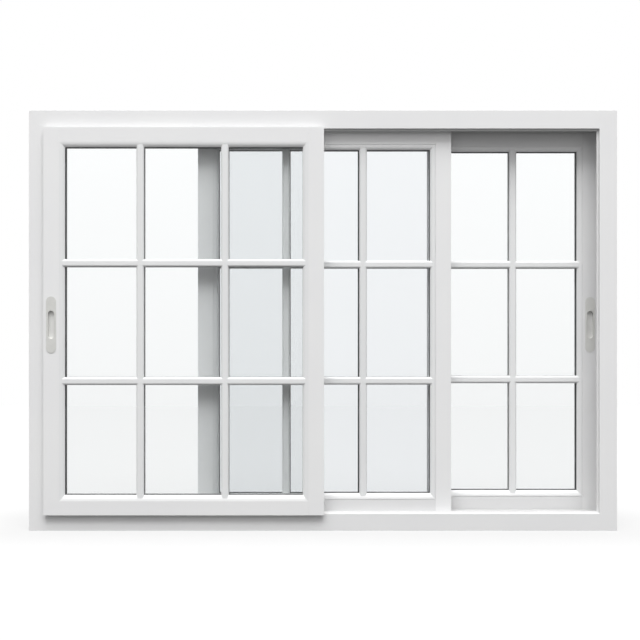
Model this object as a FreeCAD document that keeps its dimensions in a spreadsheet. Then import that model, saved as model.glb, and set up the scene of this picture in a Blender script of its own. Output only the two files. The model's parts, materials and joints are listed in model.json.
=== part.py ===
import FreeCAD, Part
import math
import os
import re

import Sketcher

os.makedirs("parts", exist_ok=True)

# Horizontal sliding window with three glazed sashes on three tracks, in millimetres.
# X runs to the right seen from the room, Y runs away from the room, Z is up.
# The origin is the middle of the sill's underside, halfway through the frame's depth.

SIZES = {
    # Frame
    "window_width": 1680,
    "window_height": 1200,
    "sill_face": 48,
    "head_face": 51.5,
    "jamb_face": 50,
    "frame_depth": 125,
    "front_land": 22,
    "rear_lip": 6,
    "channel_recess": 12,
    "jamb_recess": 18,
    "rim_height": 6,
    "rail_height": 14,
    "rail_thickness": 3,
    "fin_height": 12,
    "fixing_hole_radius": 4,
    "fixing_hole_inset": 150,
    # Sashes
    "front_projection": 16,
    "sash_depth": 36,
    "sash_gap": 8,
    "running_gap": 5,
    "front_sash_width": 798,
    "middle_sash_width": 729.5,
    "middle_sash_overhang": 2,
    "rear_sash_width": 496,
    "stile_flat": 44.5,
    "side_overlap": 5,
    "level_overlap": 1.7,
    "groove_setback": 27,
    "groove_width": 9,
    "sill_to_sight": 55.5,
    "head_to_sight": 55,
    "middle_drop": 1.7,
    # Glazing
    "glass_setback": 9,
    "pane_thickness": 4,
    "cavity": 10,
    "glass_edge_gap": 3,
    "bead_width": 16,
    "lower_bead_width": 18,
    "bead_land": 1.5,
    "bead_edge_drop": 6,
    "quirk_width": 2,
    "quirk_depth": 2,
    "gasket_thickness": 1.5,
    "gasket_reveal": 0.5,
    "spacer_edge_gap": 1,
    "bar_width": 22,
    "bar_face": 9,
    "bar_setback": 1,
    "bar_edge": 1.5,
    "bar_tape_inset": 0.5,
    "strip_joint": 0.3,
    "front_bar_pitch": 241,
    "front_bar_shift": -3.5,
    "middle_bar_pitch": 222,
    "lower_row": 313,
    "middle_row": 313.8,
    # Rollers
    "roller_radius": 10,
    "roller_width": 7,
    "roller_inset": 90,
    "roller_clearance": 0.3,
    "axle_radius": 3,
    "axle_length": 14,
    "axle_clearance": 0.05,
    # Pulls and brushes
    "pull_height": 588,
    "pull_length": 161,
    "pull_width": 28.5,
    "pull_plate": 1,
    "pull_recess_length": 80,
    "pull_recess_width": 17.5,
    "pull_recess_depth": 7,
    "pull_wall": 1.5,
    "pull_clearance": 0.3,
    "brush_width": 8,
    "brush_height": 2,
    "brush_inset": 12,
    "brush_end_gap": 20,
}

# Sizes worked out from those above
DERIVED = {
    "opening_edge": "window_width / 2 - jamb_face",
    "sill_top": "sill_face",
    "head_underside": "window_height - head_face",
    "channel_floor": "sill_top - channel_recess",
    "channel_ceiling": "head_underside + channel_recess",
    "jamb_floor": "opening_edge + jamb_recess",
    "channel_back": "frame_depth - rear_lip",
    "track_pitch": "sash_depth + sash_gap",
    "frame_front": "0 - frame_depth / 2",
    "front_setback": "0 - front_projection",
    "middle_setback": "front_setback + track_pitch",
    "rear_setback": "middle_setback + track_pitch",
    "front_face": "frame_front + front_setback",
    "middle_face": "frame_front + middle_setback",
    "rear_face": "frame_front + rear_setback",
    "front_track": "front_setback + groove_setback",
    "middle_track": "middle_setback + groove_setback",
    "rear_track": "rear_setback + groove_setback",
    "front_left": "0 - opening_edge - side_overlap",
    "middle_left": "rear_left + stile_width + middle_sash_overhang - middle_sash_width",
    "rear_left": "jamb_floor - running_gap - rear_sash_width",
    "front_bottom": "sill_top - level_overlap",
    "front_top": "head_underside + level_overlap",
    "inner_bottom": "channel_floor + running_gap",
    "inner_top": "channel_ceiling - running_gap",
    "front_rail_top": "sill_top + rim_height",
    "inner_rail_top": "channel_floor + rail_height",
    "front_fin_bottom": "head_underside - rim_height",
    "inner_fin_bottom": "channel_ceiling - fin_height",
    "lip_depth": "front_projection - running_gap",
    "side_step": "side_overlap + rim_height + running_gap",
    "level_step": "level_overlap + running_gap",
    "stile_width": "stile_flat + bead_width",
    "sight_bottom": "sill_top + sill_to_sight",
    "sight_top": "head_underside - head_to_sight",
    "flat_bottom": "sight_bottom - lower_bead_width",
    "flat_top": "sight_top + bead_width",
    "bead_back": "glass_setback - gasket_thickness",
    "flange_front": "glass_back + gasket_thickness",
    "glass_back": "glass_setback + 2 * pane_thickness + cavity",
    "groove_front": "groove_setback - groove_width / 2",
    "groove_rear": "groove_setback + groove_width / 2",
    "low_bar": "sight_bottom + lower_row + bar_width / 2",
    "high_bar": "low_bar + middle_row + bar_width",
    "bar_half": "bar_width / 2",
    "bar_face_half": "bar_face / 2",
    "bar_run": "bar_half - bar_face_half",
    "bar_drop": "bead_back - bar_edge - bar_setback",
    "bar_round": "(bar_run * bar_run + bar_drop * bar_drop) / (2 * bar_drop)",
    "bar_tape_half": "bar_half - bar_tape_inset",
    "quirked_run": "bead_width - quirk_width - bead_land",
    "pull_cup_depth": "pull_recess_depth + pull_wall",
    "pull_cup_width": "pull_recess_width + 2 * pull_wall",
    "pull_cup_length": "pull_recess_length + 2 * pull_wall",
}

SASHES = [
    {"name": "front_sash", "left": "front_left", "face": "front_face",
     "width": "front_sash_width", "bottom": "front_bottom", "top": "front_top",
     "rail_top": "front_rail_top", "fin_bottom": "front_fin_bottom",
     "drop": "0", "lip": True, "quirk": False,
     "bar_offsets": ["front_bar_shift - front_bar_pitch / 2", "front_bar_shift + front_bar_pitch / 2"],
     "pull_side": "left"},
    {"name": "middle_sash", "left": "middle_left", "face": "middle_face",
     "width": "middle_sash_width", "bottom": "inner_bottom", "top": "inner_top",
     "rail_top": "inner_rail_top", "fin_bottom": "inner_fin_bottom",
     "drop": "middle_drop", "lip": False, "quirk": True,
     "bar_offsets": ["-middle_bar_pitch / 2", "middle_bar_pitch / 2"],
     "pull_side": None},
    {"name": "rear_sash", "left": "rear_left", "face": "rear_face",
     "width": "rear_sash_width", "bottom": "inner_bottom", "top": "inner_top",
     "rail_top": "inner_rail_top", "fin_bottom": "inner_fin_bottom",
     "drop": "0", "lip": False, "quirk": True, "bar_offsets": ["0"],
     "pull_side": "right"},
]

doc = FreeCAD.newDocument("sliding_window")
sheet = doc.addObject("Spreadsheet::Sheet", "sizes")
for row, (alias, number) in enumerate(SIZES.items(), start=1):
    sheet.set("A%d" % row, alias)
    sheet.set("B%d" % row, str(number))
    sheet.setAlias("B%d" % row, alias)
doc.recompute()


def bound(text):
    """Spell a size out as an expression on the sheet's cells."""
    def spelled(match):
        word = match.group(0)
        if word in SIZES:
            return "sizes." + word
        return "(" + bound(DERIVED[word]) + ")"
    return re.sub(r"[a-z][a-z_]+", spelled, text)


def value(text):
    """The number that an expression gives now."""
    return float(sheet.evalExpression(bound(text)))


def new_body(label, sash=None):
    """An empty body that starts at its sash's left edge and face, or at the frame's face."""
    body = doc.addObject("PartDesign::Body", label)
    body.Label = label
    body.AllowCompound = True
    if sash:
        body.setExpression(".Placement.Base.x", bound(sash["left"]))
        body.setExpression(".Placement.Base.y", bound(sash["face"]))
    else:
        body.setExpression(".Placement.Base.y", bound("frame_front"))
    return body


def new_glazing_body(label, sash):
    """An empty body for glazing, which hangs a little lower in the middle sash than in the others."""
    body = new_body(label, sash)
    body.setExpression(".Placement.Base.z", bound("0 - %s" % sash["drop"]))
    return body


def new_sketch(body, plane, level):
    """An empty sketch on one of the body's own origin planes, moved out to a level."""
    number = len(body.Group)
    sketch = body.newObject("Sketcher::SketchObject", "%s_sketch_%d" % (body.Name, number))
    datum = [item for item in body.Origin.OriginFeatures if item.Role == plane][0]
    sketch.AttachmentSupport = [(datum, "")]
    sketch.MapMode = "FlatFace"
    outward = "0 - (%s)" % level if plane == "XZ_Plane" else level
    sketch.setExpression(".AttachmentOffset.Base.z", bound(outward))
    return sketch


def constrain(sketch, constraints):
    """Add constraints, each with the expression that drives it or None."""
    start = sketch.ConstraintCount
    sketch.addConstraint([item for item, driver in constraints])
    for index, (item, driver) in enumerate(constraints):
        if driver is not None:
            sketch.setExpression("Constraints[%d]" % (start + index), bound(driver))


def point_place(curve, end, across, up):
    """Constraints that hold one point at its distances from the sketch's origin."""
    held = []
    if across == "0":
        held.append((Sketcher.Constraint("PointOnObject", curve, end, -2), None))
    else:
        held.append((Sketcher.Constraint("DistanceX", -1, 1, curve, end, value(across)), across))
    if up == "0":
        held.append((Sketcher.Constraint("PointOnObject", curve, end, -1), None))
    else:
        held.append((Sketcher.Constraint("DistanceY", -1, 1, curve, end, value(up)), up))
    return held


def runs_leftward(points):
    """Whether an outline's inside lies to the left of its own direction."""
    doubled = 0
    for index, point in enumerate(points):
        following = points[(index + 1) % len(points)]
        doubled += point.x * following.y - following.x * point.y
    return doubled > 0


def bulging_side(start, finish, radius, leftward):
    """An arc between two points that bulges out of its outline, and whether it runs backwards."""
    chord = finish - start
    half = chord.Length / 2
    inward = FreeCAD.Vector(-chord.y, chord.x, 0) * ((1 if leftward else -1) / chord.Length)
    centre = start + chord * 0.5 + inward * math.sqrt(radius * radius - half * half)
    first, last = (start, finish) if leftward else (finish, start)
    begins = math.atan2(first.y - centre.y, first.x - centre.x)
    ends = math.atan2(last.y - centre.y, last.x - centre.x)
    if ends < begins:
        ends += 2 * math.pi
    circle = Part.Circle(centre, FreeCAD.Vector(0, 0, 1), radius)
    return Part.ArcOfCircle(circle, begins, ends), not leftward


def draw_outline(sketch, corners, rounds=None):
    """A closed outline through named corners. rounds gives the radius of each side that bulges."""
    rounds = rounds or {}
    first = sketch.GeometryCount
    count = len(corners)
    points = [FreeCAD.Vector(value(across), value(up), 0) for across, up in corners]
    leftward = runs_leftward(points)
    reversed_sides = set()
    for index in range(count):
        start = points[index]
        finish = points[(index + 1) % count]
        side = Part.LineSegment(start, finish)
        if index in rounds:
            side, backwards = bulging_side(start, finish, value(rounds[index]), leftward)
            if backwards:
                reversed_sides.add(index)
        sketch.addGeometry(side, False)
    held = []
    for index in range(count):
        following = (index + 1) % count
        leaving = 1 if index in reversed_sides else 2
        entering = 2 if following in reversed_sides else 1
        held.append((Sketcher.Constraint("Coincident", first + index, leaving,
                                         first + following, entering), None))
    for index, (across, up) in enumerate(corners):
        end = 2 if index in reversed_sides else 1
        held.extend(point_place(first + index, end, across, up))
    for index, radius in rounds.items():
        held.append((Sketcher.Constraint("Radius", first + index, value(radius)), radius))
    constrain(sketch, held)


def draw_box(sketch, left, bottom, right, top):
    """A rectangle between two named corners."""
    first = sketch.GeometryCount
    low = (value(left), value(bottom))
    high = (value(right), value(top))
    ring = [low, (high[0], low[1]), high, (low[0], high[1])]
    for index in range(4):
        start = FreeCAD.Vector(ring[index][0], ring[index][1], 0)
        finish = FreeCAD.Vector(ring[(index + 1) % 4][0], ring[(index + 1) % 4][1], 0)
        sketch.addGeometry(Part.LineSegment(start, finish), False)
    held = []
    for index in range(4):
        held.append((Sketcher.Constraint("Coincident", first + index, 2, first + (index + 1) % 4, 1), None))
    held.append((Sketcher.Constraint("Horizontal", first), None))
    held.append((Sketcher.Constraint("Vertical", first + 1), None))
    held.append((Sketcher.Constraint("Horizontal", first + 2), None))
    held.append((Sketcher.Constraint("Vertical", first + 3), None))
    held.extend(point_place(first, 1, left, bottom))
    held.extend(point_place(first + 2, 1, right, top))
    constrain(sketch, held)


def draw_circle(sketch, across, up, radius):
    """A circle about a named centre."""
    curve = sketch.GeometryCount
    centre = FreeCAD.Vector(value(across), value(up), 0)
    sketch.addGeometry(Part.Circle(centre, FreeCAD.Vector(0, 0, 1), value(radius)), False)
    held = point_place(curve, 3, across, up)
    held.append((Sketcher.Constraint("Radius", curve, value(radius)), radius))
    constrain(sketch, held)


def draw_slot(sketch, across, up, width, length):
    """An upright slot with round ends about a named centre."""
    first = sketch.GeometryCount
    radius = value(width) / 2
    reach = value(length) / 2 - radius
    middle_x = value(across)
    middle_z = value(up)
    high = FreeCAD.Vector(middle_x, middle_z + reach, 0)
    low = FreeCAD.Vector(middle_x, middle_z - reach, 0)
    side = FreeCAD.Vector(radius, 0, 0)
    normal = FreeCAD.Vector(0, 0, 1)
    half_turn = math.pi
    sketch.addGeometry(Part.ArcOfCircle(Part.Circle(high, normal, radius), 0, half_turn), False)
    sketch.addGeometry(Part.LineSegment(high - side, low - side), False)
    sketch.addGeometry(Part.ArcOfCircle(Part.Circle(low, normal, radius), half_turn, 2 * half_turn), False)
    sketch.addGeometry(Part.LineSegment(low + side, high + side), False)
    held = []
    for index in range(4):
        following = first + (index + 1) % 4
        held.append((Sketcher.Constraint("Tangent", first + index, 2, following, 1), None))
    half = "(%s) / 2 - (%s) / 2" % (length, width)
    held.extend(point_place(first, 3, across, "%s + %s" % (up, half)))
    held.extend(point_place(first + 2, 3, across, "%s - (%s)" % (up, half)))
    held.append((Sketcher.Constraint("Radius", first, radius), "(%s) / 2" % width))
    held.append((Sketcher.Constraint("Equal", first, first + 2), None))
    constrain(sketch, held)


def on_front_plane(sketch):
    """Whether a sketch lies in the window's own plane, whose normal faces the room."""
    return sketch.AttachmentSupport[0][0].Role == "XZ_Plane"


def pad(body, sketch, length):
    """Thicken a sketch along +X, +Y or +Z."""
    feature = body.newObject("PartDesign::Pad", sketch.Name + "_pad")
    feature.Profile = sketch
    feature.Reversed = on_front_plane(sketch)
    feature.setExpression("Length", bound(length))
    sketch.Visibility = False
    return feature


def cut(body, sketch, length):
    """Cut a sketch out of its body along +X, +Y or +Z."""
    feature = body.newObject("PartDesign::Pocket", sketch.Name + "_pocket")
    feature.Profile = sketch
    feature.Reversed = not on_front_plane(sketch)
    feature.setExpression("Length", bound(length))
    sketch.Visibility = False
    return feature


def from_right(sash, distance):
    """A place measured back from a sash's right edge."""
    return "%s - (%s)" % (sash["width"], distance)


# Frame members

def build_channel_bed(label, outer, inner):
    """The level slab between the two walls of the sill's or the head's channel."""
    body = new_body(label)
    sketch = new_sketch(body, "YZ_Plane", "0 - opening_edge")
    draw_box(sketch, "front_land", outer, "channel_back", inner)
    pad(body, sketch, "2 * opening_edge")
    return body


def build_channel_walls(label, outer, inner):
    """The room side and the outer side of the sill or the head, on either side of its channel."""
    body = new_body(label)
    sketch = new_sketch(body, "YZ_Plane", "0 - opening_edge")
    draw_box(sketch, "0", outer, "front_land", inner)
    draw_box(sketch, "channel_back", outer, "frame_depth", inner)
    pad(body, sketch, "2 * opening_edge")
    return body


def build_jamb(label, outer, inner, recess_start, rim_start):
    """One jamb, with the recess that the sashes run into, its part of the rim and two fixing holes."""
    body = new_body(label)
    sketch = new_sketch(body, "XY_Plane", "0")
    draw_box(sketch, outer, "0", inner, "frame_depth")
    pad(body, sketch, "window_height")
    recess = new_sketch(body, "YZ_Plane", recess_start)
    draw_box(recess, "front_land", "channel_floor", "channel_back", "channel_ceiling")
    cut(body, recess, "jamb_recess")
    rim = new_sketch(body, "YZ_Plane", rim_start)
    draw_box(rim, "front_track - rail_thickness / 2", "front_rail_top",
             "front_track + rail_thickness / 2", "front_fin_bottom")
    pad(body, rim, "rim_height")
    holes = new_sketch(body, "YZ_Plane", outer if label == "frame_left_jamb" else inner)
    middle = "(front_land + channel_back) / 2"
    draw_circle(holes, middle, "fixing_hole_inset", "fixing_hole_radius")
    draw_circle(holes, middle, "window_height - fixing_hole_inset", "fixing_hole_radius")
    cut(body, holes, "jamb_face")
    return body


def build_rails():
    """Three running rails, one under each sash; the front one is the sill's part of the rim."""
    body = new_body("sill_rails")
    sketch = new_sketch(body, "YZ_Plane", "0 - opening_edge")
    rails = [("front_track", "sill_top", "front_rail_top"),
             ("middle_track", "channel_floor", "inner_rail_top"),
             ("rear_track", "channel_floor", "inner_rail_top")]
    for track, floor, top in rails:
        draw_box(sketch, "%s - rail_thickness / 2" % track, floor,
                 "%s + rail_thickness / 2" % track, top)
    pad(body, sketch, "2 * opening_edge")
    return body


def build_fins():
    """Three guide fins under the head, one in each sash's top groove; the front one ends the rim."""
    body = new_body("head_guide_fins")
    sketch = new_sketch(body, "YZ_Plane", "0 - opening_edge")
    fins = [("front_track", "front_fin_bottom", "head_underside"),
            ("middle_track", "inner_fin_bottom", "channel_ceiling"),
            ("rear_track", "inner_fin_bottom", "channel_ceiling")]
    for track, bottom, roof in fins:
        draw_box(sketch, "%s - rail_thickness / 2" % track, bottom,
                 "%s + rail_thickness / 2" % track, roof)
    pad(body, sketch, "2 * opening_edge")
    return body


# Sash members

def build_stile(sash, side):
    """An upright sash member with its glazing flange and its notches for rail and fin."""
    def across(distance):
        return distance if side == "left" else from_right(sash, distance)

    body = new_body("%s_%s_stile" % (sash["name"], side), sash)
    block = new_sketch(body, "XY_Plane", sash["bottom"])
    if sash["lip"]:
        draw_outline(block, [
            (across("0"), "0"),
            (across("stile_flat"), "0"),
            (across("stile_flat"), "sash_depth"),
            (across("side_step"), "sash_depth"),
            (across("side_step"), "lip_depth"),
            (across("0"), "lip_depth"),
        ])
    else:
        draw_box(block, across("0"), "0", across("stile_flat"), "sash_depth")
    pad(body, block, "%s - %s" % (sash["top"], sash["bottom"]))
    flange = new_sketch(body, "XY_Plane", "sight_bottom - %s" % sash["drop"])
    draw_box(flange, across("stile_flat"), "flange_front", across("stile_width"), "sash_depth")
    pad(body, flange, "sight_top - sight_bottom")
    notches = new_sketch(body, "YZ_Plane", "0" if side == "left" else from_right(sash, "stile_flat"))
    draw_track_notch(notches, sash, sash["bottom"], "+", "%s + running_gap" % sash["rail_top"])
    draw_track_notch(notches, sash, sash["top"], "-", "%s - running_gap" % sash["fin_bottom"])
    cut(body, notches, "stile_flat")
    if sash["pull_side"] == side:
        socket = new_sketch(body, "XZ_Plane", "0")
        draw_slot(socket, pull_centre(sash), "pull_height", "pull_cup_width + 2 * pull_clearance",
                  "pull_cup_length + 2 * pull_clearance")
        cut(body, socket, "pull_cup_depth + pull_clearance")
    return body


def draw_track_notch(sketch, sash, edge, sign, groove_end):
    """The open groove in a sash's edge, and the step behind its lip where it has one."""
    if not sash["lip"]:
        draw_box(sketch, "groove_front", edge, "groove_rear", groove_end)
        return
    step = "%s %s level_step" % (edge, sign)
    draw_outline(sketch, [
        ("lip_depth", edge),
        ("lip_depth", step),
        ("groove_front", step),
        ("groove_front", groove_end),
        ("groove_rear", groove_end),
        ("groove_rear", step),
        ("sash_depth", step),
        ("sash_depth", edge),
    ])


def rail_corners(sash, edge, sign, groove_end, flat, sight):
    """The section of a top or bottom sash rail, from its outer edge to its sight line."""
    shoulder = "%s %s level_step" % (edge, sign) if sash["lip"] else edge
    corners = [("0", edge)]
    if sash["lip"]:
        corners.append(("lip_depth", edge))
        corners.append(("lip_depth", shoulder))
    corners.extend([
        ("groove_front", shoulder),
        ("groove_front", groove_end),
        ("groove_rear", groove_end),
        ("groove_rear", shoulder),
        ("sash_depth", shoulder),
        ("sash_depth", sight),
        ("flange_front", sight),
        ("flange_front", flat),
        ("0", flat),
    ])
    return corners


def build_bottom_rail(sash):
    body = new_body("%s_bottom_rail" % sash["name"], sash)
    sketch = new_sketch(body, "YZ_Plane", "stile_flat")
    groove_end = "%s + 3 * roller_clearance + 2 * roller_radius" % sash["rail_top"]
    flat = "flat_bottom - %s" % sash["drop"]
    sight = "sight_bottom - %s" % sash["drop"]
    draw_outline(sketch, rail_corners(sash, sash["bottom"], "+", groove_end, flat, sight))
    pad(body, sketch, "%s - 2 * stile_flat" % sash["width"])
    holes = new_sketch(body, "XZ_Plane", "groove_setback - axle_length / 2")
    for place in roller_places(sash):
        draw_circle(holes, place, roller_height(sash), "axle_radius + axle_clearance")
    cut(body, holes, "axle_length")
    return body


def build_top_rail(sash):
    body = new_body("%s_top_rail" % sash["name"], sash)
    sketch = new_sketch(body, "YZ_Plane", "stile_flat")
    groove_end = "%s - running_gap" % sash["fin_bottom"]
    flat = "flat_top - %s" % sash["drop"]
    sight = "sight_top - %s" % sash["drop"]
    draw_outline(sketch, rail_corners(sash, sash["top"], "-", groove_end, flat, sight))
    pad(body, sketch, "%s - 2 * stile_flat" % sash["width"])
    return body


def roller_places(sash):
    return ["roller_inset", from_right(sash, "roller_inset")]


def roller_height(sash):
    return "%s + roller_clearance + roller_radius" % sash["rail_top"]


def build_rollers(sash):
    """Two grooveless wheels on their axles, set in the bottom rail."""
    body = new_body("%s_rollers" % sash["name"], sash)
    wheels = new_sketch(body, "XZ_Plane", "groove_setback - roller_width / 2")
    for place in roller_places(sash):
        draw_circle(wheels, place, roller_height(sash), "roller_radius")
    pad(body, wheels, "roller_width")
    axles = new_sketch(body, "XZ_Plane", "groove_setback - axle_length / 2")
    for place in roller_places(sash):
        draw_circle(axles, place, roller_height(sash), "axle_radius")
    pad(body, axles, "axle_length")
    return body


# Glazing

def bead_outline(sash, place, width):
    """The section of a glazing bead of one width, placed from the rail's flat, and its round side."""
    corners = [(place("0"), "bead_back")]
    start = "bead_land"
    if sash["quirk"]:
        start = "quirk_width + bead_land"
        corners.append((place("0"), "quirk_depth"))
        corners.append((place("quirk_width"), "quirk_depth"))
        corners.append((place("quirk_width"), "0"))
    else:
        corners.append((place("0"), "0"))
    corners.extend([
        (place(start), "0"),
        (place(width), "bead_edge_drop"),
        (place(width), "bead_back"),
    ])
    round_side = len(corners) - 3
    run = "(%s - %s)" % (width, start.replace(" + ", " - "))
    radius = "(%s * %s + bead_edge_drop * bead_edge_drop) / (2 * bead_edge_drop)" % (run, run)
    return corners, {round_side: radius}


def draw_upright_beads(sketch, sash):
    """The sections of both upright beads, seen from above."""
    draw_outline(sketch, *bead_outline(sash, lambda distance: "stile_flat + (%s)" % distance, "bead_width"))
    draw_outline(sketch, *bead_outline(sash, lambda distance: from_right(sash, "stile_flat + (%s)" % distance),
                                       "bead_width"))


def draw_level_beads(sketch, sash):
    """The sections of the bottom and top beads, seen from the side."""
    for flat, sign, width in (("flat_bottom", "+", "lower_bead_width"), ("flat_top", "-", "bead_width")):
        corners, rounds = bead_outline(sash, lambda distance: "%s %s (%s)" % (flat, sign, distance), width)
        draw_outline(sketch, [(depth, height) for height, depth in corners], rounds)


def build_upright_beads(sash):
    body = new_glazing_body("%s_upright_beads" % sash["name"], sash)
    sketch = new_sketch(body, "XY_Plane", "flat_bottom")
    draw_upright_beads(sketch, sash)
    pad(body, sketch, "flat_top - flat_bottom")
    mitres = new_sketch(body, "XZ_Plane", "0")
    for place in (lambda distance: distance, lambda distance: from_right(sash, distance)):
        for flat, sight in (("flat_bottom", "sight_bottom"), ("flat_top", "sight_top")):
            draw_outline(mitres, [(place("stile_flat"), flat), (place("stile_width"), flat),
                                  (place("stile_width"), sight)])
    cut(body, mitres, "bead_back")
    return body


def build_level_beads(sash):
    body = new_glazing_body("%s_level_beads" % sash["name"], sash)
    sketch = new_sketch(body, "YZ_Plane", "stile_flat")
    draw_level_beads(sketch, sash)
    pad(body, sketch, "%s - 2 * stile_flat" % sash["width"])
    mitres = new_sketch(body, "XZ_Plane", "0")
    for place in (lambda distance: distance, lambda distance: from_right(sash, distance)):
        for flat, sight in (("flat_bottom", "sight_bottom"), ("flat_top", "sight_top")):
            draw_outline(mitres, [(place("stile_flat"), flat), (place("stile_flat"), sight),
                                  (place("stile_width"), sight)])
    cut(body, mitres, "bead_back")
    return body


def bar_centres(sash):
    """Places of the upright bars, from the sash's left edge."""
    return ["%s / 2 + (%s)" % (sash["width"], offset) for offset in sash["bar_offsets"]]


def bar_outline(centre, at_back):
    """The section of one glazing bar: a flat face with rounded shoulders."""
    def depth(distance):
        return "glass_setback + glass_back - (%s)" % distance if at_back else distance
    corners = [
        ("%s - bar_half" % centre, depth("bead_back")),
        ("%s - bar_half" % centre, depth("bead_back - bar_edge")),
        ("%s - bar_face_half" % centre, depth("bar_setback")),
        ("%s + bar_face_half" % centre, depth("bar_setback")),
        ("%s + bar_half" % centre, depth("bead_back - bar_edge")),
        ("%s + bar_half" % centre, depth("bead_back")),
    ]
    return corners, {1: "bar_round", 3: "bar_round"}


def draw_upright_bars(sketch, sash, at_back):
    """The sections of the upright bars on one face of the glass, seen from above."""
    for centre in bar_centres(sash):
        draw_outline(sketch, *bar_outline(centre, at_back))


def draw_level_bars(sketch, at_back):
    """The sections of both level bars on one face of the glass, seen from the side."""
    for centre in ("low_bar", "high_bar"):
        corners, rounds = bar_outline(centre, at_back)
        draw_outline(sketch, [(depth, height) for height, depth in corners], rounds)


def build_upright_bars(sash):
    """Upright glazing bars in one length, scribed over the level beads on the room side."""
    body = new_glazing_body("%s_upright_bars" % sash["name"], sash)
    front = new_sketch(body, "XY_Plane", "sight_bottom - quirked_run")
    draw_upright_bars(front, sash, False)
    pad(body, front, "sight_top - sight_bottom + 2 * quirked_run")
    scribe = new_sketch(body, "YZ_Plane", "stile_width")
    draw_level_beads(scribe, sash)
    cut(body, scribe, "%s - 2 * stile_width" % sash["width"])
    back = new_sketch(body, "XY_Plane", "sight_bottom")
    draw_upright_bars(back, sash, True)
    pad(body, back, "sight_top - sight_bottom")
    return body


def build_level_bars(sash):
    """Level glazing bars, scribed over the upright beads and cut round the upright bars."""
    body = new_glazing_body("%s_level_bars" % sash["name"], sash)
    front = new_sketch(body, "YZ_Plane", "stile_width - quirked_run")
    draw_level_bars(front, False)
    pad(body, front, "%s - 2 * (stile_width - quirked_run)" % sash["width"])
    scribe = new_sketch(body, "XY_Plane", "sight_bottom")
    draw_upright_beads(scribe, sash)
    cut(body, scribe, "sight_top - sight_bottom")
    back = new_sketch(body, "YZ_Plane", "stile_width")
    draw_level_bars(back, True)
    pad(body, back, "%s - 2 * stile_width" % sash["width"])
    crossing = new_sketch(body, "XY_Plane", "sight_bottom")
    draw_upright_bars(crossing, sash, False)
    draw_upright_bars(crossing, sash, True)
    cut(body, crossing, "sight_top - sight_bottom")
    return body


def build_glass(sash):
    """The two panes of the sealed unit."""
    body = new_glazing_body("%s_glass" % sash["name"], sash)
    for level in ("glass_setback", "glass_setback + pane_thickness + cavity"):
        sketch = new_sketch(body, "XZ_Plane", level)
        draw_box(sketch, "stile_flat + glass_edge_gap", "flat_bottom + glass_edge_gap",
                 from_right(sash, "stile_flat + glass_edge_gap"), "flat_top - glass_edge_gap")
        pad(body, sketch, "pane_thickness")
    return body


def draw_lattice(sketch, sash, outer, inner, bar_reach, split):
    """Strips round the glass and along every bar: uprights in one length, levels between them.

    outer and inner are distances from the rail's flat, bar_reach is half a bar strip's width,
    and split is the gap left at each end of a level strip.
    """
    bottom = "flat_bottom + %s" % outer
    top = "flat_top - (%s)" % outer
    lefts = ["stile_flat + %s" % outer]
    rights = ["stile_flat + %s" % inner]
    for centre in bar_centres(sash):
        lefts.append("%s - (%s)" % (centre, bar_reach))
        rights.append("%s + (%s)" % (centre, bar_reach))
    lefts.append(from_right(sash, "stile_flat + %s" % inner))
    rights.append(from_right(sash, "stile_flat + %s" % outer))
    for left, right in zip(lefts, rights):
        draw_box(sketch, left, bottom, right, top)
    levels = [
        (bottom, "sight_bottom + %s - bead_width" % inner),
        ("low_bar - (%s)" % bar_reach, "low_bar + (%s)" % bar_reach),
        ("high_bar - (%s)" % bar_reach, "high_bar + (%s)" % bar_reach),
        ("flat_top - (%s)" % inner, top),
    ]
    for left, right in zip(rights[:-1], lefts[1:]):
        for low, high in levels:
            draw_box(sketch, "%s + %s" % (left, split), low, "%s - %s" % (right, split), high)


def build_gaskets(sash):
    """Black glazing strip under the beads, the flanges and the bars, on both faces."""
    body = new_glazing_body("%s_gaskets" % sash["name"], sash)
    for level in ("bead_back", "glass_back"):
        sketch = new_sketch(body, "XZ_Plane", level)
        draw_lattice(sketch, sash, "glass_edge_gap", "(bead_width + gasket_reveal)",
                     "bar_tape_half", "strip_joint")
        pad(body, sketch, "gasket_thickness")
    return body


def build_spacers(sash):
    """Dark spacer bars between the panes, round the edge and behind every glazing bar."""
    body = new_glazing_body("%s_spacers" % sash["name"], sash)
    sketch = new_sketch(body, "XZ_Plane", "glass_setback + pane_thickness")
    draw_lattice(sketch, sash, "(glass_edge_gap + spacer_edge_gap)", "bead_width", "bar_tape_half",
                 "strip_joint")
    pad(body, sketch, "cavity")
    return body


# Pulls and brushes

def pull_centre(sash):
    return "stile_flat / 2" if sash["pull_side"] == "left" else from_right(sash, "stile_flat / 2")


def build_pull(sash):
    """A flush pull: a round-ended plate with a finger recess sunk into the stile."""
    body = new_body("%s_flush_pull" % sash["name"], sash)
    plate = new_sketch(body, "XZ_Plane", "0 - pull_plate")
    draw_slot(plate, pull_centre(sash), "pull_height", "pull_width", "pull_length")
    pad(body, plate, "pull_plate")
    cup = new_sketch(body, "XZ_Plane", "0 - pull_plate")
    draw_slot(cup, pull_centre(sash), "pull_height", "pull_cup_width", "pull_cup_length")
    pad(body, cup, "pull_plate + pull_cup_depth")
    recess = new_sketch(body, "XZ_Plane", "0 - pull_plate")
    draw_slot(recess, pull_centre(sash), "pull_height", "pull_recess_width", "pull_recess_length")
    cut(body, recess, "pull_plate + pull_recess_depth")
    return body


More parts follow.
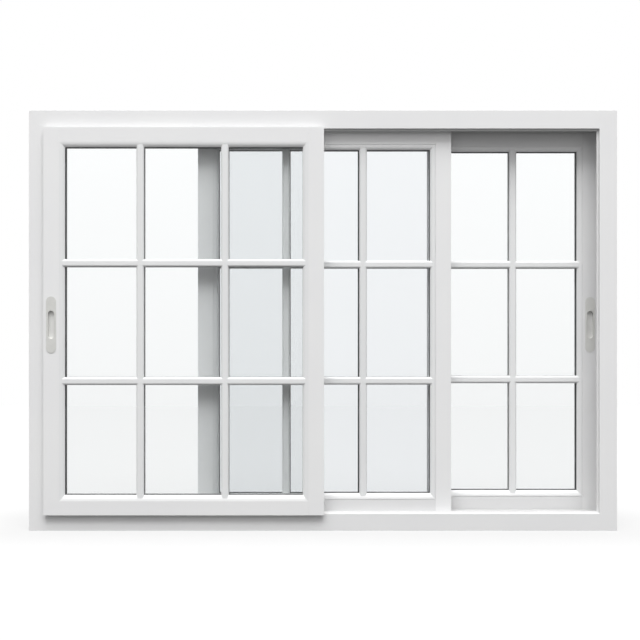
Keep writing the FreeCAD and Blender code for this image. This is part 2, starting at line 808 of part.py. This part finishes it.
def build_brush(sash):
    """A pile strip on the back of a meeting stile."""
    brush = doc.addObject("Part::Box", "%s_brush" % sash["name"])
    brush.Label = "%s_brush" % sash["name"]
    brush.setExpression("Length", bound("brush_width"))
    brush.setExpression("Width", bound("brush_height"))
    brush.setExpression("Height", bound("%s - %s - 2 * brush_end_gap" % (sash["top"], sash["bottom"])))
    left = "%s + %s - brush_inset - brush_width" % (sash["left"], sash["width"])
    brush.setExpression(".Placement.Base.x", bound(left))
    brush.setExpression(".Placement.Base.y", bound("%s + sash_depth" % sash["face"]))
    brush.setExpression(".Placement.Base.z", bound("%s + brush_end_gap" % sash["bottom"]))
    return brush


sub_parts = [
    build_channel_bed("frame_sill", "0", "channel_floor"),
    build_channel_walls("frame_sill_walls", "0", "sill_top"),
    build_channel_bed("frame_head", "channel_ceiling", "window_height"),
    build_channel_walls("frame_head_walls", "head_underside", "window_height"),
    build_jamb("frame_left_jamb", "0 - window_width / 2", "0 - opening_edge", "0 - jamb_floor",
               "0 - opening_edge"),
    build_jamb("frame_right_jamb", "window_width / 2", "opening_edge", "opening_edge",
               "opening_edge - rim_height"),
    build_rails(),
    build_fins(),
]
for sash in SASHES:
    sub_parts.append(build_stile(sash, "left"))
    sub_parts.append(build_stile(sash, "right"))
    sub_parts.append(build_top_rail(sash))
    sub_parts.append(build_bottom_rail(sash))
    sub_parts.append(build_upright_beads(sash))
    sub_parts.append(build_level_beads(sash))
    sub_parts.append(build_upright_bars(sash))
    sub_parts.append(build_level_bars(sash))
    sub_parts.append(build_glass(sash))
    sub_parts.append(build_gaskets(sash))
    sub_parts.append(build_spacers(sash))
    sub_parts.append(build_rollers(sash))
    if sash["pull_side"]:
        sub_parts.append(build_pull(sash))
for sash in SASHES[:-1]:
    sub_parts.append(build_brush(sash))

doc.recompute()

for item in doc.Objects:
    if "Invalid" in item.State or "Error" in item.State:
        raise RuntimeError("%s did not build: %s" % (item.Label, item.State))
for part in sub_parts:
    if part.Shape.isNull() or not part.Shape.isValid():
        raise RuntimeError("%s has no valid shape" % part.Label)
    part.Shape.exportStep("parts/%s.step" % part.Label)
    print("%-32s %2d solids %10.1f mm3" % (part.Label, len(part.Shape.Solids), part.Shape.Volume))
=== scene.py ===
import json
import math

import bmesh
import bpy
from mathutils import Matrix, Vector


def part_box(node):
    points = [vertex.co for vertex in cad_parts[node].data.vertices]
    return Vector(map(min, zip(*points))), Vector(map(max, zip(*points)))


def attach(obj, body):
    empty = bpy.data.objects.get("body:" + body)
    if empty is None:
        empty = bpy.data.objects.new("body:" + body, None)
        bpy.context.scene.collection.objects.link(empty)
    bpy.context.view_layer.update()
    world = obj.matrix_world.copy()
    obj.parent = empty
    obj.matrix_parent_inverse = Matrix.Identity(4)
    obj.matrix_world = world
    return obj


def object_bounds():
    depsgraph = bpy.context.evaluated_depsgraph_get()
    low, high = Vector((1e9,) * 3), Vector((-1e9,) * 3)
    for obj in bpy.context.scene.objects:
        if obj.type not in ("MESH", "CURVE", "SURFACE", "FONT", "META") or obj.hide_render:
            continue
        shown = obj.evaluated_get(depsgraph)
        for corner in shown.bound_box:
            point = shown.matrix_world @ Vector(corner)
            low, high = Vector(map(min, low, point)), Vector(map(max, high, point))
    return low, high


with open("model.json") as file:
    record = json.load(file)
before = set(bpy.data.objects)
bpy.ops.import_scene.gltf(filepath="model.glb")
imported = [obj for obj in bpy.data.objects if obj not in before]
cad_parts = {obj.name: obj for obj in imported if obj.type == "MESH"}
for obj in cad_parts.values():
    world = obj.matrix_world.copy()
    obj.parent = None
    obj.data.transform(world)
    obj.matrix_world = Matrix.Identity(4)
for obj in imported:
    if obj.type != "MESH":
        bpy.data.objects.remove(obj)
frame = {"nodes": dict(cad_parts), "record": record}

cad_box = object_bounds()
nodes = frame["nodes"]

# Lengths are in metres, and colours are linear.

# The window stands upright on a pale floor and is seen square on from the room.

FRAME_FACE_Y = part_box("frame_sill_walls")[0].y
EYE_X = -0.0085
EYE_HEIGHT = 0.6015
EYE_DISTANCE = 3.100
LENS = 61.05
SENSOR = 36.0
FAR_CLIP = 100.0

# Between the slabs of sill and head, and a hair into their rounded edges, the frame's coat is coloured dark
# grey as painted shade in the channel, so that it also throws back less light.

CHANNEL_MIDDLE = 0.59825
CHANNEL_REACH = 0.5627

# A finger pull is paler in its recess, from this far behind the face of its plate.

PULL_RIM = 0.0016

# Arrises of the frame's and the sashes' profiles

ARRIS = 0.0004
SHARP_ANGLE = math.radians(30)
SAME_PLACE = 0.000005

# Black strips on the middle sash's glass, beside its upright bars

STRIP_FRONT = -0.02695
STRIP_BACK = -0.02555
STRIP_ROWS = ((0.1025, 0.4146), (0.4370, 0.7504), (0.7728, 1.0916))
STRIP_SIDES = ((-0.09570, -0.09330), (0.10070, 0.10420))
STRIP_EDGE = 0.0005

# The floor reaches from FLOOR_FRONT before the window to FLOOR_BACK behind it. Its glow makes it white, and
# away from the window a little more glow is added between FLOOR_NEAR and FLOOR_FAR, which leaves a painted
# shade on the floor near the window.

FLOOR_FRONT = 9.0
FLOOR_BACK = 4.4
FLOOR_WIDTH = 32.0
FLOOR_TONE = 0.105
FLOOR_GLOW = 0.765
FLOOR_LIFT = 0.09
FLOOR_NEAR = 0.01
FLOOR_FAR = 0.35

# The sky is SKY_LOW strong at its foot and SKY_HIGH overhead, and weaker at the sides. In a reflection
# it is weaker by SKY_DIMMED. SKY_RISE and FADE_RISE are sines of angles above the horizon.

SKY_RISE = (0.15, 0.65)
SKY_LOW = 0.75
SKY_HIGH = 1.81
SKY_SIDE_LOSS = 0.6
SKY_DIMMED = 0.45

# White behind the window: its strength through glass, its part in reflections, and how far it fades downwards

GLASS_WHITE = 1.125
MIRRORED_WHITE = 0.1
FADE_RISE = (-0.075, 0.155)
FADE_LOW = 0.935

LAMP_PLACE = (0.0, -10.0, 20.0)
LAMP_TARGET = (0.0, 0.0, 0.7)
LAMP_WIDTH = 22.0
LAMP_HEIGHT = 11.0
LAMP_POWER = 4600.0

GLASS_BOUNCES = 32


# Building blocks for the finishes

def new_finish(name):
    """A material with nothing in it yet, and its node tree."""
    finish = bpy.data.materials.new(name)
    finish.use_nodes = True
    finish.node_tree.nodes.clear()
    return finish, finish.node_tree


def new_shader(tree, colour, roughness, metallic=0.0):
    """A Principled shader with the values that are the same all over the surface."""
    shader = tree.nodes.new("ShaderNodeBsdfPrincipled")
    shader.inputs["Base Color"].default_value = (*colour, 1.0)
    shader.inputs["Roughness"].default_value = roughness
    shader.inputs["Metallic"].default_value = metallic
    return shader


def cover(tree, shader, kind="ShaderNodeOutputMaterial"):
    """Make a shader the surface of its material or world."""
    output = tree.nodes.new(kind)
    tree.links.new(shader.outputs[0], output.inputs["Surface"])


def sum_of(tree, first, second):
    """Two shaders added together."""
    total = tree.nodes.new("ShaderNodeAddShader")
    tree.links.new(first.outputs[0], total.inputs[0])
    tree.links.new(second.outputs[0], total.inputs[1])
    return total


def give(tree, item, socket):
    """Set a socket to a number or a colour, or link another node's output to it."""
    if isinstance(item, float):
        socket.default_value = item
    elif isinstance(item, tuple):
        socket.default_value = (*item, 1.0)
    else:
        tree.links.new(item, socket)


def maths(tree, operation, *items):
    """One sum of numbers and node outputs."""
    node = tree.nodes.new("ShaderNodeMath")
    node.operation = operation
    for place, item in enumerate(items):
        give(tree, item, node.inputs[place])
    return node.outputs[0]


def object_places(tree, stretch=(1.0, 1.0, 1.0)):
    """Places on the piece in metres, stretched along an axis where the pattern is drawn out."""
    coordinates = tree.nodes.new("ShaderNodeTexCoord")
    mapping = tree.nodes.new("ShaderNodeMapping")
    mapping.inputs["Scale"].default_value = stretch
    tree.links.new(coordinates.outputs["Object"], mapping.inputs["Vector"])
    return mapping.outputs["Vector"]


def along(tree, places, axis):
    """One coordinate of the places."""
    split = tree.nodes.new("ShaderNodeSeparateXYZ")
    tree.links.new(places, split.inputs[0])
    return split.outputs[axis]


def map_range(tree, value, source, target, smooth=False):
    """A value brought from one range to another."""
    spread = tree.nodes.new("ShaderNodeMapRange")
    if smooth:
        spread.interpolation_type = "SMOOTHSTEP"
    spread.inputs["From Min"].default_value = source[0]
    spread.inputs["From Max"].default_value = source[1]
    spread.inputs["To Min"].default_value = target[0]
    spread.inputs["To Max"].default_value = target[1]
    tree.links.new(value, spread.inputs["Value"])
    return spread.outputs["Result"]


def mottle(tree, places, scale, detail, low=0.0, high=1.0):
    """Noise of one grain size, brought between two numbers."""
    noise = tree.nodes.new("ShaderNodeTexNoise")
    noise.inputs["Scale"].default_value = scale
    noise.inputs["Detail"].default_value = detail
    tree.links.new(places, noise.inputs["Vector"])
    return map_range(tree, noise.outputs["Fac"], (0.3, 0.7), (low, high))


def two_tones(tree, amount, first, second):
    """A colour between two others."""
    mix = tree.nodes.new("ShaderNodeMix")
    mix.data_type = "RGBA"
    give(tree, amount, mix.inputs[0])
    give(tree, first, mix.inputs[6])
    give(tree, second, mix.inputs[7])
    return mix.outputs[2]


def raise_surface(tree, shader, height, strength, distance):
    """Bump from a height pattern, in metres of depth."""
    bump = tree.nodes.new("ShaderNodeBump")
    bump.inputs["Strength"].default_value = strength
    bump.inputs["Distance"].default_value = distance
    tree.links.new(height, bump.inputs["Height"])
    tree.links.new(bump.outputs["Normal"], shader.inputs["Normal"])


# Finishes

def powder_coat(name, tone, shade):
    """Satin white powder coat with a fine orange peel and a faint cloudiness."""
    finish, tree = new_finish(name)
    shader = new_shader(tree, tone, roughness=0.42)
    places = object_places(tree)
    clouds = mottle(tree, places, scale=5.0, detail=3.0)
    give(tree, two_tones(tree, clouds, tone, shade), shader.inputs["Base Color"])
    satin = mottle(tree, places, scale=60.0, detail=2.0, low=0.36, high=0.46)
    give(tree, satin, shader.inputs["Roughness"])
    peel = mottle(tree, places, scale=700.0, detail=2.0)
    raise_surface(tree, shader, peel, strength=0.25, distance=0.00004)
    cover(tree, shader)
    return finish


def channel_coat(name, tone, shade):
    """The frame's coat, coloured dark grey and streaked between the slabs of sill and head as painted shade.
    """
    finish, tree = new_finish(name)
    shader = new_shader(tree, tone, roughness=0.45)
    places = object_places(tree)
    clouds = mottle(tree, places, scale=5.0, detail=3.0)
    coat = two_tones(tree, clouds, tone, shade)
    streaks = mottle(tree, object_places(tree, (1.0, 12.0, 12.0)), scale=9.0, detail=5.0)
    # Painted shade: a dark grey, streaked tone inside the channel.
    painted_channel_shade = two_tones(tree, streaks, (0.30, 0.30, 0.295), (0.22, 0.215, 0.21))
    inside = maths(tree, "COMPARE", along(tree, places, "Z"), CHANNEL_MIDDLE, CHANNEL_REACH)
    give(tree, two_tones(tree, inside, coat, painted_channel_shade), shader.inputs["Base Color"])
    satin = mottle(tree, places, scale=60.0, detail=2.0, low=0.40, high=0.52)
    give(tree, satin, shader.inputs["Roughness"])
    peel = mottle(tree, places, scale=700.0, detail=2.0)
    raise_surface(tree, shader, peel, strength=0.25, distance=0.00004)
    cover(tree, shader)
    return finish


def worn_white(name, tone, shade):
    """Coat of the running rails or guide fins, worn smooth in fine lines along their length."""
    finish, tree = new_finish(name)
    shader = new_shader(tree, tone, roughness=0.30)
    lines = mottle(tree, object_places(tree, (2.0, 900.0, 900.0)), scale=1.0, detail=3.0)
    give(tree, two_tones(tree, lines, tone, shade), shader.inputs["Base Color"])
    wear = mottle(tree, object_places(tree, (3.0, 500.0, 500.0)), scale=1.0, detail=2.0, low=0.24, high=0.36)
    give(tree, wear, shader.inputs["Roughness"])
    raise_surface(tree, shader, lines, strength=0.2, distance=0.00002)
    cover(tree, shader)
    return finish


def black_rubber(name):
    """Matt black glazing rubber with a slight bloom."""
    finish, tree = new_finish(name)
    tone = (0.030, 0.030, 0.032)
    shader = new_shader(tree, tone, roughness=0.7)
    places = object_places(tree)
    bloom = mottle(tree, places, scale=90.0, detail=4.0)
    give(tree, two_tones(tree, bloom, tone, (0.055, 0.056, 0.060)), shader.inputs["Base Color"])
    matt = mottle(tree, places, scale=300.0, detail=2.0, low=0.6, high=0.8)
    give(tree, matt, shader.inputs["Roughness"])
    grain = mottle(tree, places, scale=1500.0, detail=2.0)
    raise_surface(tree, shader, grain, strength=0.2, distance=0.00005)
    cover(tree, shader)
    return finish


def dark_spacer(name):
    """Dark grey spacer bar with a fine grain."""
    finish, tree = new_finish(name)
    tone = (0.060, 0.062, 0.065)
    shader = new_shader(tree, tone, roughness=0.55)
    grain = mottle(tree, object_places(tree), scale=220.0, detail=3.0)
    give(tree, two_tones(tree, grain, tone, (0.095, 0.097, 0.10)), shader.inputs["Base Color"])
    raise_surface(tree, shader, grain, strength=0.15, distance=0.00005)
    cover(tree, shader)
    return finish


def nylon(name):
    """Dark moulded nylon."""
    finish, tree = new_finish(name)
    tone = (0.10, 0.10, 0.11)
    shader = new_shader(tree, tone, roughness=0.5)
    grain = mottle(tree, object_places(tree), scale=400.0, detail=3.0)
    give(tree, two_tones(tree, grain, tone, (0.14, 0.14, 0.15)), shader.inputs["Base Color"])
    cover(tree, shader)
    return finish


def pull_metal(name, plate_face):
    """Warm light grey satin metal of a finger pull, paler inside its recess."""
    finish, tree = new_finish(name)
    tone = (0.74, 0.74, 0.715)
    shader = new_shader(tree, tone, roughness=0.38, metallic=0.15)
    places = object_places(tree)
    clouds = mottle(tree, places, scale=40.0, detail=4.0)
    plate = two_tones(tree, clouds, tone, (0.69, 0.69, 0.665))
    inside = maths(tree, "GREATER_THAN", along(tree, places, "Y"), plate_face + PULL_RIM)
    give(tree, two_tones(tree, inside, plate, (0.80, 0.80, 0.78)), shader.inputs["Base Color"])
    satin = mottle(tree, places, scale=160.0, detail=2.0, low=0.32, high=0.44)
    give(tree, satin, shader.inputs["Roughness"])
    grain = mottle(tree, places, scale=1100.0, detail=2.0)
    raise_surface(tree, shader, grain, strength=0.2, distance=0.00003)
    cover(tree, shader)
    return finish


def pile_brush(name):
    """Grey pile strip, its fibres standing away from the stile."""
    finish, tree = new_finish(name)
    tone = (0.30, 0.30, 0.30)
    shader = new_shader(tree, tone, roughness=0.95)
    fibres = mottle(tree, object_places(tree, (1.0, 0.1, 1.0)), scale=2200.0, detail=2.0)
    give(tree, two_tones(tree, fibres, tone, (0.16, 0.16, 0.165)), shader.inputs["Base Color"])
    raise_surface(tree, shader, fibres, strength=0.8, distance=0.0003)
    cover(tree, shader)
    return finish


def clear_glass(name, tint):
    """Clear float glass that lets the lamps through to what is behind it."""
    finish, tree = new_finish(name)
    shader = new_shader(tree, tint, roughness=0.0)
    shader.inputs["Transmission Weight"].default_value = 1.0
    shader.inputs["IOR"].default_value = 1.5
    waves = mottle(tree, object_places(tree), scale=1.7, detail=1.0)
    raise_surface(tree, shader, waves, strength=0.1, distance=0.0004)
    passing = tree.nodes.new("ShaderNodeBsdfTransparent")
    passing.inputs["Color"].default_value = (0.895, 0.90, 0.90, 1.0)
    rays = tree.nodes.new("ShaderNodeLightPath")
    mix = tree.nodes.new("ShaderNodeMixShader")
    tree.links.new(rays.outputs["Is Shadow Ray"], mix.inputs[0])
    tree.links.new(shader.outputs[0], mix.inputs[1])
    tree.links.new(passing.outputs[0], mix.inputs[2])
    cover(tree, mix)
    return finish


# Dressing the window

def dress(node, finish):
    """Give a CAD node one finish all over."""
    mesh = nodes[node].data
    mesh.materials.clear()
    mesh.materials.append(finish)


def soften_edges(node):
    """Round a node's sharp edges, as an extrusion's arrises are."""
    piece = nodes[node]
    weld = piece.modifiers.new("weld", "WELD")
    weld.merge_threshold = SAME_PLACE
    bevel = piece.modifiers.new("arris", "BEVEL")
    bevel.width = ARRIS
    bevel.segments = 2
    bevel.limit_method = "ANGLE"
    bevel.angle_limit = SHARP_ANGLE
    bevel.harden_normals = True


def dark_bar_strips():
    """Black strips that show beside the middle sash's upright bars, row by row."""
    depth = STRIP_BACK - STRIP_FRONT
    middle_y = (STRIP_FRONT + STRIP_BACK) / 2.0
    shape = bmesh.new()
    for left, right in STRIP_SIDES:
        for bottom, top in STRIP_ROWS:
            strip = bmesh.ops.create_cube(shape, size=1.0)["verts"]
            bmesh.ops.scale(shape, vec=(right - left, depth, top - bottom), verts=strip)
            middle = ((left + right) / 2.0, middle_y, (bottom + top) / 2.0)
            bmesh.ops.translate(shape, vec=middle, verts=strip)
    front_edges = []
    for edge in shape.edges:
        start, end = edge.verts[0].co, edge.verts[1].co
        if abs(start.z - end.z) > STRIP_EDGE and start.y < middle_y:
            front_edges.append(edge)
    bmesh.ops.bevel(shape, geom=front_edges, offset=STRIP_EDGE, segments=3, profile=0.5,
                    affect="EDGES", material=-1)
    mesh = bpy.data.meshes.new("middle_sash_bar_dark_strips")
    shape.to_mesh(mesh)
    shape.free()
    for face in mesh.polygons:
        slanted = abs(face.normal.y) > 0.01 and abs(face.normal.x) > 0.01
        face.use_smooth = slanted and len(face.vertices) == 4
    mesh.materials.append(black_rubber("bar_dark_strip"))
    piece = bpy.data.objects.new("middle_sash_bar_dark_strips", mesh)
    bpy.context.scene.collection.objects.link(piece)
    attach(piece, "middle_sash")


finish_of_slot = {
    "frame_coat": powder_coat("frame_powder_coat", (0.83, 0.83, 0.83), (0.81, 0.81, 0.815)),
    "sash_coat": powder_coat("sash_powder_coat", (0.84, 0.84, 0.84), (0.82, 0.82, 0.825)),
    "track": worn_white("worn_track_coat", (0.85, 0.85, 0.85), (0.80, 0.80, 0.80)),
    "glass": clear_glass("clear_float_glass", (0.985, 0.992, 0.993)),
    "gasket": black_rubber("glazing_rubber"),
    "spacer": dark_spacer("unit_spacer"),
    "roller": nylon("roller_nylon"),
    "brush": pile_brush("pile_brush"),
}

# These nodes have a finish of their own.

# Painted shade: glazing bars and upright beads are coated a little darker than the sash coat, for the shade
# on the beads' rounded flanks and on the bars.
painted_shade_bar_coat = powder_coat("glazing_bar_painted_shade_coat", (0.81, 0.815, 0.815), (0.79, 0.795, 0.80))
# Painted highlight: the level beads are coated paler than the sash coat.
painted_highlight_bead_coat = powder_coat("painted_highlight_bead_coat", (0.88, 0.88, 0.88), (0.86, 0.86, 0.865))
# Painted shade: the middle and rear sashes' bottom rails are coated darker than the sash coat.
painted_shade_inner_rail_coat = powder_coat("painted_shade_inner_rail_coat", (0.745, 0.745, 0.745), (0.725, 0.725, 0.73))
# Painted shade in the channel of sill and head.
painted_shade_channel_coat = channel_coat("frame_channel_painted_shade_coat", (0.83, 0.83, 0.83), (0.81, 0.81, 0.815))
finish_of_node = {
    "frame_sill": painted_shade_channel_coat,
    "frame_head": painted_shade_channel_coat,
    # Painted shade: the guide fins are coated darker than the running rails, so the head throws back less
    # light.
    "head_guide_fins": worn_white("worn_fin_painted_shade_coat", (0.68, 0.68, 0.68), (0.62, 0.62, 0.62)),
    # The middle sash's glass is tinted a little darker than the other panes.
    "middle_sash_glass": clear_glass("darker_float_glass", (0.946, 0.957, 0.965)),
    "middle_sash_bottom_rail": painted_shade_inner_rail_coat,
    "rear_sash_bottom_rail": painted_shade_inner_rail_coat,
    # Painted shade beside the right jamb: the rear sash's right stile is coated darker.
    "rear_sash_right_stile": powder_coat("rear_stile_painted_shade_coat", (0.80, 0.80, 0.80), (0.78, 0.78, 0.785)),
}
# Bars and upright beads take the darker coat of painted shade, level beads the paler coat of painted
# highlight.
for sash in ("front_sash", "middle_sash", "rear_sash"):
    finish_of_node[sash + "_upright_bars"] = painted_shade_bar_coat
    finish_of_node[sash + "_level_bars"] = painted_shade_bar_coat
    finish_of_node[sash + "_upright_beads"] = painted_shade_bar_coat
    finish_of_node[sash + "_level_beads"] = painted_highlight_bead_coat
# Painted shade: the middle sash's upright bars are coated darker still, as if in the front sash's shadow.
finish_of_node["middle_sash_upright_bars"] = powder_coat(
    "middle_bar_painted_shade_coat", (0.785, 0.79, 0.79), (0.765, 0.77, 0.775))

for entry in frame["record"]["subparts"]:
    node = entry["node"]
    if entry["material_slot"] == "pull":
        dress(node, pull_metal(node + "_metal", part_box(entry["node"])[0].y))
    elif node in finish_of_node:
        dress(node, finish_of_node[node])
    else:
        dress(node, finish_of_slot[entry["material_slot"]])

dark_bar_strips()

for node in nodes:
    if node.endswith(("stile", "top_rail", "bottom_rail")) or node.startswith("frame_"):
        soften_edges(node)


# Floor, light and camera

def background_share(tree):
    """How white the background is for a ray, and whether the ray has been mirrored.

    The background is one seen plainly, a little more through glass, less in a
    reflection, and none as light on the window.
    """
    rays = tree.nodes.new("ShaderNodeLightPath")
    through = rays.outputs["Is Transmission Ray"]
    plain = maths(tree, "MAXIMUM", rays.outputs["Is Camera Ray"], rays.outputs["Is Glossy Ray"])
    seen = maths(tree, "MAXIMUM", maths(tree, "MULTIPLY", through, GLASS_WHITE), plain)
    mirrored = maths(tree, "MINIMUM", rays.outputs["Glossy Depth"], 1.0)
    kept = maths(tree, "MULTIPLY_ADD", mirrored, MIRRORED_WHITE - 1.0, 1.0)
    scattered = maths(tree, "MINIMUM", rays.outputs["Diffuse Depth"], 1.0)
    unscattered = maths(tree, "SUBTRACT", 1.0, scattered)
    share = maths(tree, "MULTIPLY", maths(tree, "MULTIPLY", seen, kept), unscattered)
    return share, mirrored


def beyond(tree, place, edge):
    """How far a place lies outside an edge on either side of the middle."""
    return maths(tree, "MAXIMUM", maths(tree, "SUBTRACT", maths(tree, "ABSOLUTE", place), edge), 0.0)


def floor_white():
    """A matt white that glows for the eye alone, a little more where it is away from the window, so that it
    glows less near the window as painted shade.
    """
    finish, tree = new_finish("floor_white")
    matt = tree.nodes.new("ShaderNodeBsdfDiffuse")
    matt.inputs["Color"].default_value = (FLOOR_TONE, FLOOR_TONE, FLOOR_TONE, 1.0)
    glow = tree.nodes.new("ShaderNodeEmission")
    glow.inputs["Color"].default_value = (1.0, 1.0, 1.0, 1.0)
    glowing = maths(tree, "MULTIPLY", background_share(tree)[0], FLOOR_GLOW)
    places = object_places(tree)
    beside = beyond(tree, along(tree, places, "X"), cad_box[1][0])
    before = beyond(tree, along(tree, places, "Y"), cad_box[1][1])
    squares = [maths(tree, "MULTIPLY", reach, reach) for reach in (beside, before)]
    away = maths(tree, "SQRT", maths(tree, "ADD", *squares))
    # Painted shade: less glow near the window, more away from it.
    painted_shade_lift = map_range(tree, away, (FLOOR_NEAR, FLOOR_FAR), (0.0, FLOOR_LIFT), smooth=True)
    rays = tree.nodes.new("ShaderNodeLightPath")
    painted_shade_glow = maths(tree, "MULTIPLY", painted_shade_lift, rays.outputs["Is Camera Ray"])
    give(tree, maths(tree, "ADD", glowing, painted_shade_glow), glow.inputs["Strength"])
    cover(tree, sum_of(tree, matt, glow))
    return finish


def pale_floor():
    """A white floor that keeps the window's soft shadow, deepened near the window by painted shade."""
    shape = bmesh.new()
    bmesh.ops.create_grid(shape, x_segments=1, y_segments=1, size=0.5)
    bmesh.ops.scale(shape, vec=(FLOOR_WIDTH, FLOOR_FRONT + FLOOR_BACK, 1.0), verts=shape.verts)
    bmesh.ops.translate(shape, vec=(0.0, (FLOOR_BACK - FLOOR_FRONT) / 2.0, 0.0), verts=shape.verts)
    mesh = bpy.data.meshes.new("floor")
    shape.to_mesh(mesh)
    shape.free()
    mesh.materials.append(floor_white())
    floor = bpy.data.objects.new("floor", mesh)
    bpy.context.scene.collection.objects.link(floor)


def studio_sky():
    """Soft light that comes mostly from above, with white behind the window."""
    world = bpy.data.worlds.new("studio")
    world.use_nodes = True
    bpy.context.scene.world = world
    tree = world.node_tree
    tree.nodes.clear()
    direction = tree.nodes.new("ShaderNodeTexCoord").outputs["Generated"]
    rise = along(tree, direction, "Z")
    aside = along(tree, direction, "X")
    by_height = map_range(tree, rise, SKY_RISE, (SKY_LOW, SKY_HIGH), smooth=True)
    by_side = maths(tree, "MULTIPLY_ADD", maths(tree, "MULTIPLY", aside, aside), -SKY_SIDE_LOSS, 1.0)
    white_share, mirrored = background_share(tree)
    covered = maths(tree, "MULTIPLY_ADD", mirrored, SKY_DIMMED, white_share)
    dome_share = maths(tree, "MAXIMUM", maths(tree, "SUBTRACT", 1.0, covered), 0.0)
    light = maths(tree, "MULTIPLY", by_height, by_side)
    dome = tree.nodes.new("ShaderNodeBackground")
    give(tree, maths(tree, "MULTIPLY", light, dome_share), dome.inputs["Strength"])
    fade = map_range(tree, rise, FADE_RISE, (FADE_LOW, 1.0))
    rays = tree.nodes.new("ShaderNodeLightPath")
    kept = maths(tree, "MAXIMUM", fade, rays.outputs["Is Camera Ray"])
    white = tree.nodes.new("ShaderNodeBackground")
    white.inputs["Color"].default_value = (1.0, 1.0, 1.0, 1.0)
    give(tree, maths(tree, "MULTIPLY", white_share, kept), white.inputs["Strength"])
    cover(tree, sum_of(tree, dome, white), "ShaderNodeOutputWorld")


def overhead_lamp():
    """A large soft lamp above and before the window."""
    data = bpy.data.lights.new("overhead_lamp", "AREA")
    data.shape = "RECTANGLE"
    data.size = LAMP_WIDTH
    data.size_y = LAMP_HEIGHT
    data.energy = LAMP_POWER
    lamp = bpy.data.objects.new("overhead_lamp", data)
    bpy.context.scene.collection.objects.link(lamp)
    lamp.location = LAMP_PLACE
    lamp.rotation_mode = "QUATERNION"
    lamp.rotation_quaternion = (Vector(LAMP_TARGET) - Vector(LAMP_PLACE)).to_track_quat("-Z", "Y")


def room_camera():
    """The photograph's view: level, square on, a little over three metres away."""
    data = bpy.data.cameras.new("room_camera")
    data.lens = LENS
    data.sensor_width = SENSOR
    data.clip_end = FAR_CLIP
    camera = bpy.data.objects.new("room_camera", data)
    bpy.context.scene.collection.objects.link(camera)
    camera.location = (EYE_X, FRAME_FACE_Y - EYE_DISTANCE, EYE_HEIGHT)
    camera.rotation_euler = (math.radians(90), 0.0, 0.0)
    bpy.context.scene.camera = camera


pale_floor()
studio_sky()
overhead_lamp()
room_camera()

scene = bpy.context.scene
scene.view_settings.view_transform = "Standard"
scene.cycles.transparent_max_bounces = GLASS_BOUNCES
scene.cycles.transmission_bounces = GLASS_BOUNCES
scene.cycles.max_bounces = GLASS_BOUNCES
